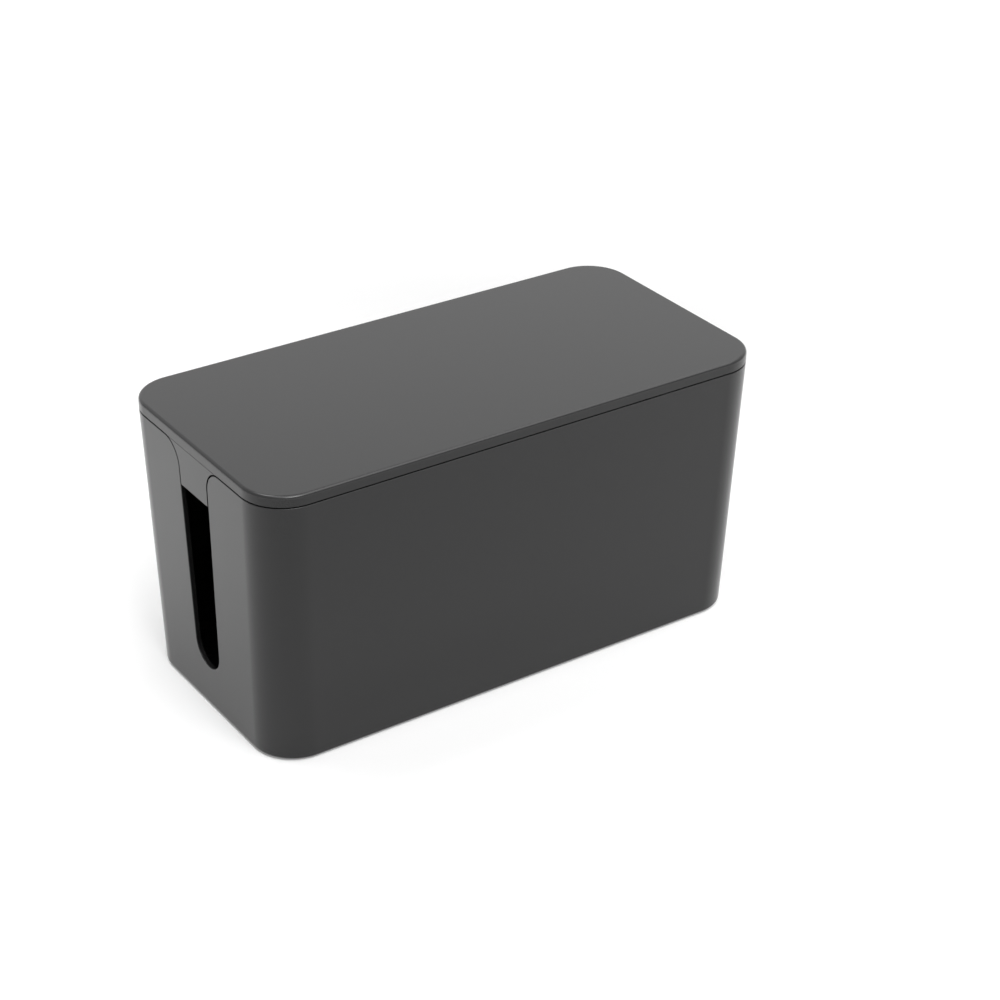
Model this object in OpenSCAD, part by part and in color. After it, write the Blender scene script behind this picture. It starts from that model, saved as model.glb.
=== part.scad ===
// Cable management box: a drafted tub with an open cable slot in each end,
// a loose lid whose end tabs close the tops of the slots, and four stick-on feet.
// The origin is under the middle of the box, on the surface that it stands on.
// X runs along the box, Y across it and Z up.

/* [Overall size] */
// Length over the rim
box_l = 235; // [180:1:420]
// Width over the rim
box_w = 115; // [90:1:180]
// Height from the surface to the top of the lid
box_h = 121.4; // [90:0.2:180]
// Radius of the upright corners, seen from above
corner_r = 18.2; // [12:0.1:28]

/* [Tub] */
// Thickness of the tub's walls
wall = 2.2; // [1.6:0.1:3.2]
// Thickness of the tub's floor
floor_t = 2.5; // [1.8:0.1:4]
// Lean of the two end walls, in degrees
end_draft = 1.45; // [0.5:0.05:3]
// Lean of the two long walls, in degrees
side_draft = 2.1; // [0.5:0.05:3]
// Radius round the bottom edge outside
base_edge_r = 1.2; // [0.6:0.1:3]
// Radius between walls and floor inside
floor_fillet_r = 3.0; // [1:0.1:6]

/* [Cable slots] */
// Height of the lowest point of a slot
slot_low = 19.6; // [12:0.1:40]
// Radius of the round bottom of a slot
slot_r = 9.5; // [6:0.1:13]
// Lean of the two sides of a slot, in degrees
slot_draft = 1.45; // [0:0.05:3]
// Radius of the flare where a slot meets the rim
flare_r = 10; // [4:0.1:14]

/* [Lid] */
// Height of the lid's outer band
lid_h = 5.2; // [3.5:0.1:10]
// Thickness of the lid's top plate
top_t = 2.2; // [1.6:0.1:3]
// Radius round the top edge
lid_edge_r = 1.4; // [0.6:0.1:2.5]
// Line left open between tub and lid, and beside the end tabs
seam = 0.6; // [0.2:0.05:0.8]
// How far that line runs in from the outer face
seam_depth = 1.2; // [0.6:0.1:1.4]
// How far an end tab hangs below the rim
tab_drop = 17.3; // [14:0.1:30]
// Depth of the fine groove between an end tab and the band above it
groove_depth = 0.15; // [0.1:0.05:0.3]
// Depth of the locating skirt below the rim
skirt_drop = 8; // [4:0.1:12]
// Thickness of the locating skirt
skirt_t = 1.8; // [1.2:0.1:2.6]
// Radius on the skirt's lower edge, which leads it in between the walls
skirt_lead_r = 1.0; // [0.4:0.1:1.2]
// Play between the skirt and the inner wall
skirt_gap = 0.4; // [0.3:0.05:1]
// Space along the rim between a slot's flare and the end of the skirt
skirt_end_gap = 3; // [1:0.1:8]

/* [Feet] */
// Diameter of a foot
foot_d = 12; // [8:0.5:16]
// Thickness of a foot
foot_t = 2.0; // [1.4:0.1:4]
// How far a foot stands out below the tub
foot_proud = 0.6; // [0.4:0.1:1.2]
// Play round a foot in its recess
foot_gap = 0.3; // [0.1:0.05:0.6]
// Bevel on a foot's lower edge
foot_bevel = 0.4; // [0.2:0.05:0.6]
// Distance of a foot's middle from the corner's own middle, along X and along Y
foot_shift = 2.3; // [0:0.1:4]
// Height of the pad inside the tub over each foot
foot_pad_t = 0.8; // [0.4:0.1:1.5]
// Width of that pad beyond the foot
foot_pad_margin = 2.0; // [1:0.1:4]

/* [Hidden] */

shell_colour = [0.21, 0.21, 0.22];
foot_colour = [0.09, 0.09, 0.09];

loft_fn = 32;        // facets of a whole circle in a lofted corner
edge_steps = 4;      // facets of a quarter round in a lofted edge
round_fn = 96;       // fineness of true circles
over = 1;            // what a cutter runs past a face
slice = 0.01;        // thickness of the slices that a loft spans

rim_z = box_h - lid_h;
base_z = foot_proud;
floor_z = base_z + floor_t;
slot_mid_z = slot_low + slot_r;
flare_z = rim_z - flare_r;
tab_low_z = rim_z - tab_drop;
skirt_low_z = rim_z - skirt_drop;
lid_under_z = box_h - top_t;

// Half the length and half the width over the outer faces at height z
function half_l(z) = box_l / 2 - (rim_z - z) * tan(end_draft);
function half_w(z) = box_w / 2 - (rim_z - z) * tan(side_draft);

// Half the width of a slot's straight sides at height z, before its flare
function slot_half(z) = slot_r / cos(slot_draft) + (z - slot_mid_z) * tan(slot_draft);
// Distance of a flare's centre from the middle of the slot
flare_y = slot_half(flare_z) + flare_r / cos(slot_draft);

// Puts its children at the four corner centres of the outline at height z
module at_corners(z) {
    for (sx = [-1, 1], sy = [-1, 1])
        translate([sx * (half_l(z) - corner_r), sy * (half_w(z) - corner_r), z])
            children();
}

// Outline of a flat round cornered plate, all its sides moved in from the rim by inset
module rim_outline(inset) {
    l = box_l - 2 * inset;
    w = box_w - 2 * inset;
    r = corner_r - inset;
    square([l - 2 * r, w], center = true);
    square([l, w - 2 * r], center = true);
    for (sx = [-1, 1], sy = [-1, 1])
        translate([sx * (l / 2 - r), sy * (w / 2 - r)])
            circle(r = r, $fn = round_fn);
}

module rim_plate(inset, z_low, z_high) {
    translate([0, 0, z_low])
        linear_extrude(z_high - z_low)
            rim_outline(inset);
}

module rim_ring(inset_out, inset_in, z_low, z_high) {
    difference() {
        rim_plate(inset_out, z_low, z_high);
        rim_plate(inset_in, z_low - over, z_high + over);
    }
}

// Half profile of a disc of radius r whose lower edge is rounded to radius e, from its underside up to e
module rounded_disc(r, e) {
    arc = [for (i = [0 : edge_steps]) let (a = 90 * i / edge_steps) [r - e + e * sin(a), e - e * cos(a)]];
    rotate_extrude($fn = loft_fn)
        polygon(concat([[0, 0]], arc, [[0, e]]));
}

// The drafted block that both faces of the tub's walls follow, moved in by inset,
// with its lower edge rounded to radius e
module drafted_block(inset, z_low, z_high, e) {
    hull() {
        at_corners(z_low + e)
            translate([0, 0, -e])
                rounded_disc(corner_r - inset, e);
        at_corners(z_high)
            translate([0, 0, -slice])
                cylinder(r = corner_r - inset, h = slice, $fn = loft_fn);
    }
}

// Outline of a slot, across the box and up, moved in all round by inset.
// Its sides lean, its bottom is round and its top flares out to meet the rim.
// The sides' lower ends lie a hair inside the round bottom, so that the two overlap.
module slot_outline(inset, z_top) {
    side_shift = inset / cos(slot_draft);
    low_shift = side_shift + slice;
    touch_z = slot_mid_z - slot_r * sin(slot_draft);
    translate([0, slot_mid_z])
        circle(r = slot_r - inset, $fn = round_fn);
    polygon([
        [-slot_half(touch_z) + low_shift, touch_z],
        [slot_half(touch_z) - low_shift, touch_z],
        [slot_half(z_top) - side_shift, z_top],
        [-slot_half(z_top) + side_shift, z_top],
    ]);
    difference() {
        translate([-flare_y, flare_z])
            square([2 * flare_y, z_top - flare_z]);
        for (s = [-1, 1])
            translate([s * flare_y, flare_z])
                circle(r = flare_r + inset, $fn = round_fn);
    }
}

// Turns an outline drawn across and up into a bar along X, from x_from to x_to
module bar_along_x(x_from, x_to) {
    translate([x_from, 0, 0])
        rotate([90, 0, 90])
            linear_extrude(x_to - x_from)
                children();
}

// The end wall as a slab across the whole width, from z_low to z_high
module end_slab(z_low, z_high) {
    rotate([90, 0, 0])
        linear_extrude(box_w, center = true)
            polygon([
                [half_l(z_low) - wall, z_low],
                [half_l(z_low), z_low],
                [half_l(z_high), z_high],
                [half_l(z_high) - wall, z_high],
            ]);
}

module both_ends() {
    for (a = [0, 180])
        rotate([0, 0, a])
            children();
}

module at_foot(sx, sy, z) {
    x = half_l(base_z) - corner_r + foot_shift;
    y = half_w(base_z) - corner_r + foot_shift;
    translate([sx * x, sy * y, z])
        children();
}

// Open tub of even wall, with a slot cut down each end wall from the rim,
// and a recess under each foot with a pad over it inside
module tub() {
    color(shell_colour)
        difference() {
            union() {
                difference() {
                    drafted_block(0, base_z, rim_z + over, base_edge_r);
                    drafted_block(wall, floor_z, rim_z + over, floor_fillet_r);
                    rim_plate(-over, rim_z, rim_z + 2 * over);
                }
                for (sx = [-1, 1], sy = [-1, 1])
                    at_foot(sx, sy, floor_z - floor_t / 2)
                        cylinder(
                            d = foot_d + 2 * foot_pad_margin,
                            h = floor_t / 2 + foot_pad_t,
                            $fn = round_fn
                        );
            }
            both_ends()
                bar_along_x(half_l(base_z) - corner_r, box_l / 2 + over)
                    slot_outline(0, rim_z + over);
            for (sx = [-1, 1], sy = [-1, 1])
                at_foot(sx, sy, 0)
                    cylinder(d = foot_d + 2 * foot_gap, h = foot_t, $fn = round_fn);
        }
}

// The lid's cap: band and top plate, with its upper edge rounded
module lid_cap() {
    hull() {
        for (sx = [-1, 1], sy = [-1, 1])
            translate([sx * (box_l / 2 - corner_r), sy * (box_w / 2 - corner_r), 0]) {
                translate([0, 0, box_h])
                    mirror([0, 0, 1])
                        rounded_disc(corner_r, lid_edge_r);
                translate([0, 0, rim_z + seam])
                    cylinder(r = corner_r, h = over, $fn = loft_fn);
            }
    }
}

// Skirt that drops inside the walls with even play all round and keeps the lid in place.
// Its face leans as the walls do, and it is open behind the end tabs.
module locating_skirt() {
    outer = wall + skirt_gap;
    open_w = 2 * (flare_y + skirt_end_gap);
    difference() {
        union() {
            drafted_block(outer, skirt_low_z, rim_z, skirt_lead_r);
            rim_plate(outer, rim_z, lid_under_z);
        }
        drafted_block(outer + skirt_t, skirt_low_z - over, rim_z, slice);
        rim_plate(outer + skirt_t, rim_z, lid_under_z);
        translate([-box_l / 2, -open_w / 2, skirt_low_z - over])
            cube([box_l, open_w, skirt_drop + over]);
    }
}

// Tab that hangs from the lid in the top of a slot, flush with the end wall.
// It follows the slot's sides and flare a seam's width inside them.
module end_tab() {
    root_z = rim_z + seam + over;
    intersection() {
        union() {
            end_slab(tab_low_z, rim_z);
            rim_ring(0, wall, rim_z, root_z);
        }
        bar_along_x(0, box_l)
            slot_outline(seam, root_z);
    }
}

// V groove that carries the seam's line on across an end tab, from flare to flare
module tab_groove() {
    translate([box_l / 2, 0, rim_z + seam / 2])
        rotate([90, 0, 0])
            cylinder(r = groove_depth, h = 2 * flare_y, center = true, $fn = 4);
}

// The lid stands on the tub's rim on a ledge that starts behind the open seam
module lid() {
    color(shell_colour)
        difference() {
            union() {
                difference() {
                    lid_cap();
                    rim_plate(wall, rim_z, lid_under_z);
                }
                rim_ring(seam_depth, wall, rim_z, rim_z + seam + over);
                locating_skirt();
                both_ends()
                    end_tab();
            }
            both_ends()
                tab_groove();
        }
}

// Rubber disc stuck into its recess, with its lower edge bevelled
module foot(sx, sy) {
    r = foot_d / 2;
    color(foot_colour)
        at_foot(sx, sy, 0)
            rotate_extrude($fn = round_fn)
                polygon([
                    [0, 0],
                    [r - foot_bevel, 0],
                    [r, foot_bevel],
                    [r, foot_t],
                    [0, foot_t],
                ]);
}

module foot_front_left() { foot(-1, -1); }
module foot_front_right() { foot(1, -1); }
module foot_rear_left() { foot(-1, 1); }
module foot_rear_right() { foot(1, 1); }

tub();
lid();
foot_front_left();
foot_front_right();
foot_rear_left();
foot_rear_right();
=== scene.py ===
import math
import bmesh
import bpy
from mathutils import Matrix, Vector


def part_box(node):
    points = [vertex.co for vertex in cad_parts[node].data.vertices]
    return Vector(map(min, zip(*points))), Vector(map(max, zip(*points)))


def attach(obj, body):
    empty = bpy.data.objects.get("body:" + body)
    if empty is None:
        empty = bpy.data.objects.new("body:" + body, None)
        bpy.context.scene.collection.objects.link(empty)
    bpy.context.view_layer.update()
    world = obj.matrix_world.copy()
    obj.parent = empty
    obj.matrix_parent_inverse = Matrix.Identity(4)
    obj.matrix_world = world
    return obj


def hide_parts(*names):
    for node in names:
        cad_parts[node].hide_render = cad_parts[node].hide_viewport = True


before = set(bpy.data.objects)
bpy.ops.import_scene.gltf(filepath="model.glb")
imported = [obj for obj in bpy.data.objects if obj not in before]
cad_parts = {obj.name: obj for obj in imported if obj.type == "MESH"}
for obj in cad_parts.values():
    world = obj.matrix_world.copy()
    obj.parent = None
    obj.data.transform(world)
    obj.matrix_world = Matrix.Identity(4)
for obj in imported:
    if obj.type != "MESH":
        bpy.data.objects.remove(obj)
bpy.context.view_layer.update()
tubLow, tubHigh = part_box("tub")
lidLow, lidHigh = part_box("lid")
footNodes = [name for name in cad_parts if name.startswith("foot")]
print("frame loaded: tub, lid and", len(footNodes), "feet")

mm = 0.001  # pieces are modelled in millimetres and brought to metres once, at their end

# what holds for every mesh
modelling = {
    "merge": 0.002,                   # points closer than this become one
    "sameHeight": 0.01,               # heights closer than this count as one
    "roundedFrom": math.radians(40),  # bend between two faces from which their edge gets a radius
    "creasedFrom": math.radians(36),  # and from which it stays a crease in the shading
}

# what tub and lid share, so that their outer faces run into each other
shell = {
    "halfLength": tubHigh.x / mm,
    "halfWidth": tubHigh.y / mm,
    "rim": tubHigh.z / mm,
    "endDraft": math.radians(1.45),   # lean of the end walls
    "sideDraft": math.radians(2.1),   # lean of the long walls
    "cornerRadius": 18.2,             # of the upright corners outside
    "cornerSteps": 24,
    "wall": 2.2,                      # thickness
    "seam": 0.6,                      # open line between tub and lid
    "over": 3.0,                      # how far a cutter runs past a face
}
cutterSide = shell["halfWidth"] + shell["over"]   # where cutters end across the box
cutterEnd = shell["halfLength"] + shell["over"]   # and along it

# the cable slot in each end, and the lid's tab that hangs in its top
slot = {
    "radius": 9.5,                    # round bottom
    "low": 19.6,                      # height of its lowest point
    "draft": math.radians(1.45),      # lean of its two sides
    "flare": 10.0,                    # radius where it opens out to the rim
    "arcSteps": 20,
}
slotMiddle = slot["low"] + slot["radius"]  # height of the round bottom's centre


# half length and half width over the outer faces at height z
def sizeAt(z):
    drop = shell["rim"] - z
    length = shell["halfLength"] - drop * math.tan(shell["endDraft"])
    width = shell["halfWidth"] - drop * math.tan(shell["sideDraft"])
    return length, width


# half the slot's width at height z, between its leaning sides
def slotHalfAt(z):
    draft = slot["draft"]
    return slot["radius"] / math.cos(draft) + (z - slotMiddle) * math.tan(draft)


# where the flare's circle has its middle, across the box and up
def flareMiddle():
    z = shell["rim"] - slot["flare"]
    return slotHalfAt(z) + slot["flare"] / math.cos(slot["draft"]), z


# levels (height, half length, half width) of walls that lean all the way from low to high
def leaningLevels(low, high):
    return [(z, *sizeAt(z)) for z in (low, high)]


# levels of the outer walls from low to high, which lean up to the rim and are upright above it
def wallLevels(low, high):
    return [(z, *sizeAt(min(z, shell["rim"]))) for z in sorted({low, shell["rim"], high})]


def plainBlock(length, width, low, high):
    bm = bmesh.new()
    bmesh.ops.create_cube(bm, size=1)
    bmesh.ops.scale(bm, vec=(length, width, high - low), verts=bm.verts)
    bmesh.ops.translate(bm, vec=(0, 0, (low + high) / 2), verts=bm.verts)
    return bm


# a block through the given levels, moved in all round by inset, its upright edges rounded
def roundedBlock(levels, inset=0):
    bm = plainBlock(1, 1, levels[0][0], levels[-1][0])
    for level in levels[1:-1]:
        everything = bm.verts[:] + bm.edges[:] + bm.faces[:]
        bmesh.ops.bisect_plane(bm, geom=everything, plane_co=(0, 0, level[0]), plane_no=(0, 0, 1))
    for vert in bm.verts:
        z, length, width = min(levels, key=lambda level: abs(level[0] - vert.co.z))
        x = math.copysign(length - inset, vert.co.x)
        y = math.copysign(width - inset, vert.co.y)
        vert.co = (x, y, z)
    upright = [
        e for e in bm.edges
        if abs(e.verts[0].co.z - e.verts[1].co.z) > modelling["sameHeight"]]
    bmesh.ops.bevel(
        bm, geom=upright, offset=shell["cornerRadius"] - inset, segments=shell["cornerSteps"],
        profile=0.5, affect="EDGES", material=-1)
    return bm


# rounds the loop of edges that lies at height z
def roundLoop(bm, z, radius, steps):
    loop = [
        e for e in bm.edges
        if all(abs(v.co.z - z) < modelling["sameHeight"] for v in e.verts)]
    bmesh.ops.bevel(
        bm, geom=loop, offset=radius, segments=steps, profile=0.5, affect="EDGES", material=-1)


# runs an arc on from a vertex, about a centre in the YZ plane
def arcFrom(bm, vert, centre, angle):
    turned = bmesh.ops.spin(
        bm, geom=[vert], cent=(0, *centre), axis=(1, 0, 0), angle=angle,
        steps=slot["arcSteps"], use_duplicate=False)
    return next(v for v in turned["geom_last"] if isinstance(v, bmesh.types.BMVert))


def lineTo(bm, vert, y, z):
    end = bm.verts.new((0, y, z))
    bm.edges.new((vert, end))
    return end


# one side of the slot's outline, set in by inset: along the rim at the height top,
# round the flare and down the leaning side to the height bottom
def slotSide(bm, inset, top, bottom):
    flareY, flareZ = flareMiddle()
    radius = slot["flare"] + inset
    rise = min(top - flareZ, radius)  # at the rim itself it equals the radius but for rounding
    first = bm.verts.new((0, -cutterSide, top))
    corner = lineTo(bm, first, -flareY + math.sqrt(radius ** 2 - rise ** 2), top)
    touch = arcFrom(bm, corner, (-flareY, flareZ), slot["draft"] - math.asin(rise / radius))
    side = lineTo(bm, touch, -slotHalfAt(bottom) + inset / math.cos(slot["draft"]), bottom)
    return first, side


# closes the outline, and its mirror image, to faces and draws them out along the box
def drawnAlong(bm):
    bmesh.ops.mirror(
        bm, geom=bm.verts[:] + bm.edges[:], matrix=Matrix.Identity(4),
        merge_dist=modelling["merge"], axis="Y")
    bmesh.ops.remove_doubles(bm, verts=bm.verts, dist=modelling["merge"])
    bmesh.ops.contextual_create(bm, geom=bm.edges[:])
    bmesh.ops.translate(bm, vec=(-cutterEnd, 0, 0), verts=bm.verts)
    drawn = bmesh.ops.extrude_face_region(bm, geom=bm.faces[:], use_keep_orig=True)
    moved = [g for g in drawn["geom"] if isinstance(g, bmesh.types.BMVert)]
    bmesh.ops.translate(bm, vec=(2 * cutterEnd, 0, 0), verts=moved)
    return bm


def asObject(bm, name):
    bmesh.ops.recalc_face_normals(bm, faces=bm.faces)
    mesh = bpy.data.meshes.new(name)
    bm.to_mesh(mesh)
    bm.free()
    made = bpy.data.objects.new(name, mesh)
    bpy.context.scene.collection.objects.link(made)
    return made


# cuts a tool out of a piece, or joins it on, and uses the tool up
def carve(piece, tool, operation="DIFFERENCE"):
    if isinstance(tool, bmesh.types.BMesh):
        tool = asObject(tool, "tool")
    step = piece.modifiers.new("carve", "BOOLEAN")
    step.solver = "EXACT"
    step.operation = operation
    step.object = tool
    bpy.context.view_layer.update()
    carved = bpy.data.meshes.new_from_object(
        piece.evaluated_get(bpy.context.evaluated_depsgraph_get()))
    piece.modifiers.clear()
    before = piece.data
    piece.data = carved
    bpy.data.meshes.remove(before)
    bpy.data.objects.remove(tool)


# rounds the sharp edges whose higher end lies between two heights
def roundEdges(piece, low, high, radius, steps):
    bm = bmesh.new()
    bm.from_mesh(piece.data)
    bmesh.ops.remove_doubles(bm, verts=bm.verts, dist=modelling["merge"])
    sharp = [
        e for e in bm.edges
        if e.is_manifold and e.calc_face_angle() > modelling["roundedFrom"]]
    picked = [e for e in sharp if low < max(v.co.z for v in e.verts) < high]
    bmesh.ops.bevel(
        bm, geom=picked, offset=radius, segments=steps,
        profile=0.5, affect="EDGES", material=-1, clamp_overlap=True)
    bm.to_mesh(piece.data)
    bm.free()


# brings a finished mesh to metres, smooths its shading, and gives it its material and body
def finishPiece(piece, material, node, body):
    bm = bmesh.new()
    bm.from_mesh(piece.data)
    bmesh.ops.remove_doubles(bm, verts=bm.verts, dist=modelling["merge"])
    bmesh.ops.scale(bm, vec=(mm, mm, mm), verts=bm.verts)
    for face in bm.faces:
        face.smooth = True
    bm.to_mesh(piece.data)
    bm.free()
    piece.data.set_sharp_from_angle(angle=modelling["creasedFrom"])
    shade = piece.modifiers.new("evenShading", "WEIGHTED_NORMAL")
    shade.keep_sharp = True
    piece.data.materials.clear()
    piece.data.materials.append(material)
    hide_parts(node)
    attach(piece, body)


foot = {
    "roundSteps": 72,         # sides of a foot, its pad and its recess
    "edge": 0.4,              # radius round the lower edge
    "edgeSteps": 4,
    "play": 0.3,              # round a foot in its recess
    "padMargin": 2.0,         # width of the pad inside beyond the foot
    "padHeight": 0.8,
    "padEdge": 0.3,
    "padEdgeSteps": 2,
}


# middle, radius and top of a foot, all in millimetres
def footPlace(node):
    low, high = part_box(node)
    middle = (low + high) / 2 / mm
    return middle.x, middle.y, (high.x - low.x) / 2 / mm, high.z / mm


# an upright disc from low to high about (x, y)
def disc(radius, low, high, x, y):
    bm = bmesh.new()
    bmesh.ops.create_cone(
        bm, cap_ends=True, segments=foot["roundSteps"], radius1=radius, radius2=radius,
        depth=high - low)
    bmesh.ops.translate(bm, vec=(x, y, (low + high) / 2), verts=bm.verts)
    return bm


def makeFoot(node):
    x, y, radius, high = footPlace(node)
    bm = disc(radius, 0, high, x, y)
    roundLoop(bm, 0, foot["edge"], foot["edgeSteps"])
    return asObject(bm, node + "_disc")


tub = {
    "base": tubLow.z / mm,
    "baseEdge": 1.2,          # radius round the bottom edge
    "baseEdgeSteps": 8,
    "floorThickness": 2.5,
    "floorFillet": 3.0,       # radius between floor and walls inside
    "floorFilletSteps": 8,
    "edgeRadius": 0.3,        # rim and slot edges
    "edgeSteps": 3,
}
tubFloor = tub["base"] + tub["floorThickness"]  # height of the floor inside


# cuts both slots, and whatever stands above the rim
def slotCutter(top):
    trim = bmesh.new()
    touchZ = slotMiddle - slot["radius"] * math.sin(slot["draft"])
    first, side = slotSide(trim, 0, shell["rim"], touchZ)
    arcFrom(trim, side, (0, slotMiddle), math.pi / 2 - slot["draft"])
    above = lineTo(trim, first, -cutterSide, top)
    lineTo(trim, above, 0, top)
    return drawnAlong(trim)


# puts a pad on the floor over a foot and cuts the recess that the foot is stuck in
def seatFoot(piece, node):
    x, y, radius, high = footPlace(node)
    padLow = tubFloor - tub["floorThickness"] / 2
    padTop = tubFloor + foot["padHeight"]
    pad = disc(radius + foot["padMargin"], padLow, padTop, x, y)
    roundLoop(pad, padTop, foot["padEdge"], foot["padEdgeSteps"])
    carve(piece, pad, "UNION")
    carve(piece, disc(radius + foot["play"], 0, high, x, y))


def makeTub():
    top = shell["rim"] + shell["over"]
    cutterTop = top + shell["over"]
    outside = roundedBlock(leaningLevels(tub["base"], top))
    roundLoop(outside, tub["base"], tub["baseEdge"], tub["baseEdgeSteps"])
    piece = asObject(outside, "tub_shell")
    inside = roundedBlock(leaningLevels(tubFloor, cutterTop), shell["wall"])
    roundLoop(inside, tubFloor, tub["floorFillet"], tub["floorFilletSteps"])
    carve(piece, inside)
    carve(piece, slotCutter(cutterTop))
    roundEdges(piece, tubFloor + tub["floorFillet"], top, tub["edgeRadius"], tub["edgeSteps"])
    for node in footNodes:
        seatFoot(piece, node)
    return piece


lid = {
    "top": lidHigh.z / mm,
    "topThickness": 2.2,
    "topEdge": 1.4,           # radius round the top edge
    "topEdgeSteps": 10,
    "tabLow": lidLow.z / mm,
    "edgeRadius": 0.25,       # lower edges of band and tabs
    "edgeSteps": 2,
    "grooveDepth": 0.15,      # fine groove between tab and band
    "seamDepth": 1.2,         # from the outer face to the ledge that stands on the rim
    "ledgeWidth": 0.7,
    "skirtDrop": 8.0,         # below the rim
    "skirtThickness": 1.8,
    "skirtPlay": 0.4,         # between the skirt and the tub's walls
    "skirtEndGap": 3.0,       # between a slot's flare and the skirt
    "skirtLead": 1.0,         # radius on the skirt's lower edge
    "skirtLeadSteps": 4,
    "skirtRoot": 1.0,         # how far the skirt reaches up into the lid's top
}
lidUnder = lid["top"] - lid["topThickness"]  # height of its top's underside


# cuts away what is below the band and beside the tabs
def tabCutter(low):
    trim = bmesh.new()
    first, side = slotSide(trim, shell["seam"], shell["rim"] + shell["seam"], low)
    corner = lineTo(trim, first, -cutterSide, low)
    trim.edges.new((corner, side))
    return drawnAlong(trim)


# a square bar on edge across one end, which cuts the groove
def grooveBar(side):
    bm = bmesh.new()
    depth = lid["grooveDepth"]
    bmesh.ops.create_cone(
        bm, cap_ends=True, segments=4, radius1=depth, radius2=depth, depth=2 * flareMiddle()[0])
    bmesh.ops.rotate(bm, matrix=Matrix.Rotation(math.pi / 2, 3, "X"), verts=bm.verts)
    place = (side * shell["halfLength"], 0, shell["rim"] + shell["seam"] / 2)
    bmesh.ops.translate(bm, vec=place, verts=bm.verts)
    return bm


# a ring that follows the walls between two insets, with a radius of lead round its lower edge
def ring(name, low, high, outer, inner, lead=0):
    outside = roundedBlock(wallLevels(low, high), outer)
    if lead:
        roundLoop(outside, low, lead, lid["skirtLeadSteps"])
    piece = asObject(outside, name)
    carve(piece, roundedBlock(wallLevels(low - shell["over"], high + shell["over"]), inner))
    return piece


# the ledge that stands on the tub's rim behind the open seam
def makeLedge():
    outer = lid["seamDepth"]
    return ring("ledge", shell["rim"], lidUnder, outer, outer + lid["ledgeWidth"])


# the skirt that keeps the lid in place, open behind the tabs
def makeSkirt():
    low = shell["rim"] - lid["skirtDrop"]
    outer = shell["wall"] + lid["skirtPlay"]
    inner = outer + lid["skirtThickness"]
    skirt = ring("skirt", low, lidUnder + lid["skirtRoot"], outer, inner, lid["skirtLead"])
    openWidth = 2 * (flareMiddle()[0] + lid["skirtEndGap"])
    carve(skirt, plainBlock(2 * cutterEnd, openWidth, low - shell["over"], shell["rim"]))
    return skirt


def makeLid():
    cutterLow = lid["tabLow"] - shell["over"]
    outside = roundedBlock(wallLevels(lid["tabLow"], lid["top"]))
    roundLoop(outside, lid["top"], lid["topEdge"], lid["topEdgeSteps"])
    piece = asObject(outside, "lid_shell")
    carve(piece, roundedBlock(wallLevels(cutterLow, lidUnder), shell["wall"]))
    carve(piece, tabCutter(cutterLow))
    midBand = (shell["rim"] + lidUnder) / 2
    roundEdges(piece, cutterLow, midBand, lid["edgeRadius"], lid["edgeSteps"])
    for side in (-1, 1):
        carve(piece, grooveBar(side))
    carve(piece, makeLedge(), "UNION")
    carve(piece, makeSkirt(), "UNION")
    return piece


plasticLook = {
    "colour": (0.012, 0.012, 0.0123),
    "colourSpread": 0.12,     # up and down from the colour, as a share of it
    "roughness": 0.23,
    "roughnessSpread": 0.025,
    "ior": 1.45,
    "grain": 2600,            # scale of the moulded texture, and its height in metres
    "grainHeight": 0.000008,
    "patch": 18,              # scale of the slow changes of gloss
}

rubberLook = {
    "colour": (0.015, 0.015, 0.015),
    "colourSpread": 0.2,
    "roughness": 0.8,
    "roughnessSpread": 0.05,
    "ior": 1.45,
    "grain": 1500,
    "grainHeight": 0.00003,
    "patch": 60,
}


# a node that brings a value from 0 to 1 onto the middle, spread to both sides
def spreadAbout(nodes, middle, spread):
    made = nodes.new("ShaderNodeMapRange")
    made.inputs["To Min"].default_value = middle - spread
    made.inputs["To Max"].default_value = middle + spread
    return made


def makeMaterial(name, look):
    material = bpy.data.materials.new(name)
    material.use_nodes = True
    nodes, links = material.node_tree.nodes, material.node_tree.links
    surface = nodes["Principled BSDF"]
    surface.inputs["IOR"].default_value = look["ior"]
    place = nodes.new("ShaderNodeTexCoord")
    grain = nodes.new("ShaderNodeTexNoise")
    grain.inputs["Scale"].default_value = look["grain"]
    patch = nodes.new("ShaderNodeTexNoise")
    patch.inputs["Scale"].default_value = look["patch"]
    for noise in (grain, patch):
        links.new(place.outputs["Object"], noise.inputs["Vector"])
    # the grain stands out a little and changes the colour with it
    bump = nodes.new("ShaderNodeBump")
    bump.inputs["Distance"].default_value = look["grainHeight"]
    links.new(grain.outputs["Fac"], bump.inputs["Height"])
    links.new(bump.outputs["Normal"], surface.inputs["Normal"])
    shade = spreadAbout(nodes, 1, look["colourSpread"])
    links.new(grain.outputs["Fac"], shade.inputs["Value"])
    tint = nodes.new("ShaderNodeHueSaturation")
    tint.inputs["Color"].default_value = (*look["colour"], 1)
    links.new(shade.outputs["Result"], tint.inputs["Value"])
    links.new(tint.outputs["Color"], surface.inputs["Base Color"])
    # and the gloss changes slowly over the piece
    rough = spreadAbout(nodes, look["roughness"], look["roughnessSpread"])
    links.new(patch.outputs["Fac"], rough.inputs["Value"])
    links.new(rough.outputs["Result"], surface.inputs["Roughness"])
    return material


camera = {
    "place": (-0.468533, -0.71396, 0.541149),
    "lookAt": (0.018603, -0.010312, 0.06),
    "roll": 0.739,            # degrees
    "lens": 84.631,           # millimetres, as is the sensor's width
    "sensor": 36,
    "nearest": 0.05,          # metres from which things show
}


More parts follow.
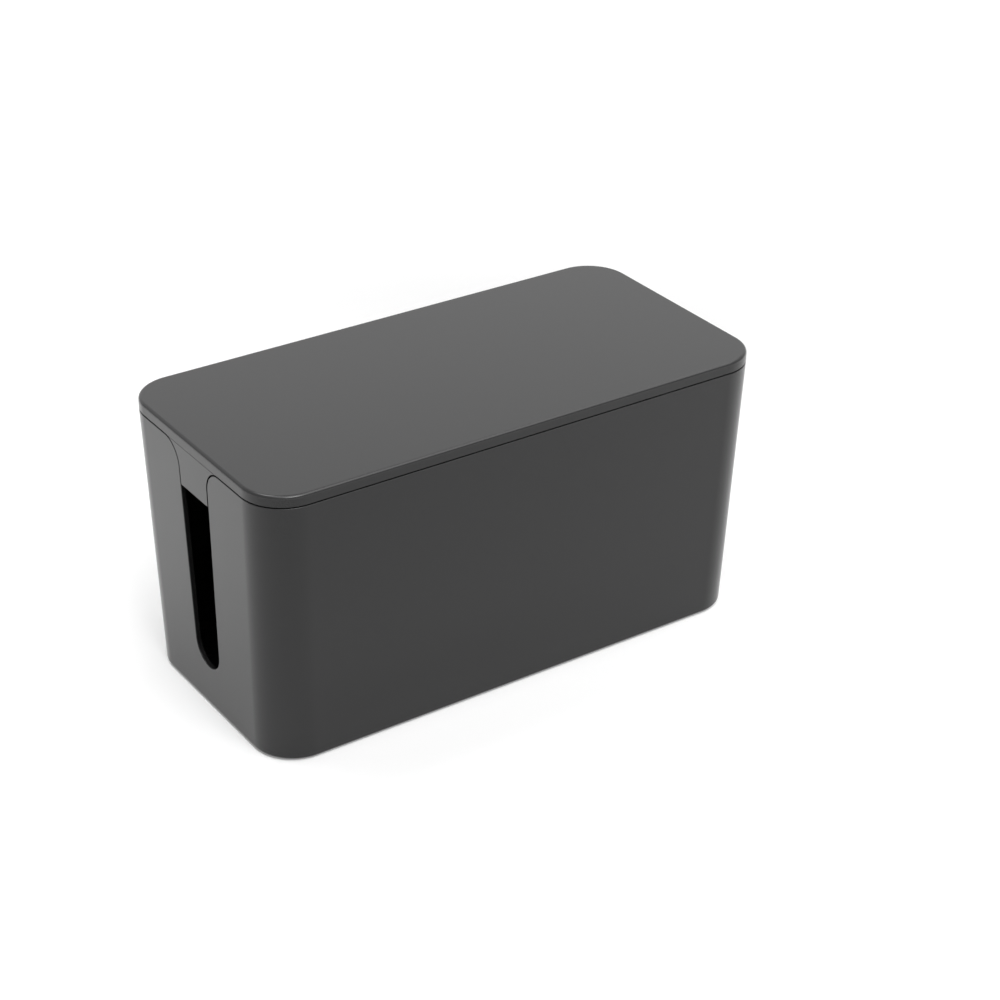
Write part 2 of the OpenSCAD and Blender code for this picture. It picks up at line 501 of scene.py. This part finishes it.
def makeCamera():
    made = bpy.data.objects.new("camera", bpy.data.cameras.new("camera"))
    bpy.context.scene.collection.objects.link(made)
    made.data.lens = camera["lens"]
    made.data.sensor_width = camera["sensor"]
    made.data.clip_start = camera["nearest"]
    place, target = Vector(camera["place"]), Vector(camera["lookAt"])
    turn = (target - place).to_track_quat("-Z", "Y").to_matrix().to_4x4()
    roll = Matrix.Rotation(math.radians(camera["roll"]), 4, "Z")
    made.matrix_world = Matrix.Translation(place) @ turn @ roll
    bpy.context.scene.camera = made


# soft boxes round the box, in metres, with their spread in degrees;
# a face with a strength of 1 is as bright as white paper
lamps = {
    "overheadSoftbox": {
        "place": (0.4, -1.1, 2.2), "target": (0.4, -1.1, 0), "size": (3.2, 2.2),
        "strength": 2.5, "spread": 180},
    "frontKey": {
        "place": (-0.11, -1.29, 1.84), "target": (0, 0, 0.06), "size": (0.9, 0.7),
        "strength": 8.0, "spread": 180},
    "backSilk": {
        "place": (0.77, 1.85, 1.9), "target": (0, 0, 1.9), "size": (5.6, 2.9),
        "strength": 0.2, "spread": 180},
    "rightSoftbox": {
        "place": (1.48, 0.61, 1.97), "target": (0, 0, 0.06), "size": (1.3, 0.9),
        "strength": 1.5, "spread": 180},
    "leftFloorLamp": {
        "place": (-0.25, 0.2, 0.7), "target": (-0.25, 0.2, 0), "size": (0.3, 0.3),
        "strength": 2.0, "spread": 70},
    "rightFloorLamp": {
        "place": (0.32, -0.12, 0.7), "target": (0.32, -0.12, 0), "size": (0.25, 0.25),
        "strength": 0.5, "spread": 45},
}


def makeLamp(name, lamp):
    light = bpy.data.lights.new(name, "AREA")
    light.shape = "RECTANGLE"
    light.size, light.size_y = lamp["size"]
    light.energy = lamp["strength"] * math.pi * light.size * light.size_y  # watts
    light.spread = math.radians(lamp["spread"])
    made = bpy.data.objects.new(name, light)
    bpy.context.scene.collection.objects.link(made)
    place, target = Vector(lamp["place"]), Vector(lamp["target"])
    made.location = place
    made.rotation_euler = (target - place).to_track_quat("-Z", "Y").to_euler()


stage = {
    "halfSize": 30,           # metres
    "below": 0.0001,          # a hair under the feet, so that no two faces lie in one plane
    "colour": (0.8, 0.8, 0.8),
    "roughness": 0.9,
    "glow": 0.23,             # lifts the floor to white for the camera and in reflections
    "farGlow": 1.0,           # further out, where the lamps don't reach
    "near": 0.3,              # metres from the middle at which the glow begins to rise
    "far": 0.7,               # and at which it is full
    "world": 0.03,            # light from all round; the world itself shows white
}


# 1 for the rays that show the background itself: the camera's, and those in gloss and in glass
def backgroundRays(nodes, links):
    rays = nodes.new("ShaderNodeLightPath")
    seen = rays.outputs["Is Camera Ray"]
    for kind in ("Is Glossy Ray", "Is Transmission Ray"):
        either = nodes.new("ShaderNodeMath")
        either.operation = "MAXIMUM"
        links.new(seen, either.inputs[0])
        links.new(rays.outputs[kind], either.inputs[1])
        seen = either.outputs["Value"]
    return seen


# the floor's glow, which rises with the distance from the middle
def floorGlow(nodes, links):
    place = nodes.new("ShaderNodeTexCoord")
    distance = nodes.new("ShaderNodeVectorMath")
    distance.operation = "LENGTH"
    links.new(place.outputs["Object"], distance.inputs[0])
    outwards = nodes.new("ShaderNodeMapRange")
    outwards.interpolation_type = "SMOOTHSTEP"
    outwards.inputs["From Min"].default_value = stage["near"]
    outwards.inputs["From Max"].default_value = stage["far"]
    outwards.inputs["To Min"].default_value = stage["glow"]
    outwards.inputs["To Max"].default_value = stage["farGlow"]
    links.new(distance.outputs["Value"], outwards.inputs["Value"])
    glow = nodes.new("ShaderNodeMath")
    glow.operation = "MULTIPLY"
    links.new(backgroundRays(nodes, links), glow.inputs[0])
    links.new(outwards.outputs["Result"], glow.inputs[1])
    return glow.outputs["Value"]


def makeFloorMaterial():
    material = bpy.data.materials.new("paleFloor")
    material.use_nodes = True
    nodes, links = material.node_tree.nodes, material.node_tree.links
    surface = nodes["Principled BSDF"]
    surface.inputs["Base Color"].default_value = (*stage["colour"], 1)
    surface.inputs["Roughness"].default_value = stage["roughness"]
    surface.inputs["Specular IOR Level"].default_value = 0
    surface.inputs["Emission Color"].default_value = (1, 1, 1, 1)
    links.new(floorGlow(nodes, links), surface.inputs["Emission Strength"])
    # clear from below, where it would hide the underside
    sides = nodes.new("ShaderNodeNewGeometry")
    clear = nodes.new("ShaderNodeBsdfTransparent")
    cover = nodes.new("ShaderNodeMixShader")
    links.new(sides.outputs["Backfacing"], cover.inputs["Fac"])
    links.new(surface.outputs["BSDF"], cover.inputs[1])
    links.new(clear.outputs["BSDF"], cover.inputs[2])
    links.new(cover.outputs["Shader"], nodes["Material Output"].inputs["Surface"])
    return material


def makeStage():
    bm = bmesh.new()
    bmesh.ops.create_grid(bm, x_segments=1, y_segments=1, size=stage["halfSize"])
    bmesh.ops.translate(bm, vec=(0, 0, -stage["below"]), verts=bm.verts)
    floor = asObject(bm, "floor")
    floor.data.materials.append(makeFloorMaterial())


def makeWorld():
    world = bpy.data.worlds.new("studio")
    bpy.context.scene.world = world
    world.use_nodes = True
    nodes, links = world.node_tree.nodes, world.node_tree.links
    light = nodes["Background"]
    light.inputs["Color"].default_value = (1, 1, 1, 1)
    level = nodes.new("ShaderNodeMapRange")
    level.inputs["To Min"].default_value = stage["world"]
    links.new(backgroundRays(nodes, links), level.inputs["Value"])
    links.new(level.outputs["Result"], light.inputs["Strength"])


bpy.context.scene.view_settings.view_transform = "Standard"
makeCamera()
makeStage()
makeWorld()
for name, lamp in lamps.items():
    makeLamp(name, lamp)
print("stage, camera and light made")

plastic = makeMaterial("shellPlastic", plasticLook)
rubber = makeMaterial("footRubber", rubberLook)
print("plastic and rubber made")

tubPiece = makeTub()
finishPiece(tubPiece, plastic, "tub", "base")
print("tub made:", len(tubPiece.data.polygons), "faces")
lidPiece = makeLid()
finishPiece(lidPiece, plastic, "lid", "lid")
print("lid made:", len(lidPiece.data.polygons), "faces")
for node in footNodes:
    finishPiece(makeFoot(node), rubber, node, "base")
print("feet made")
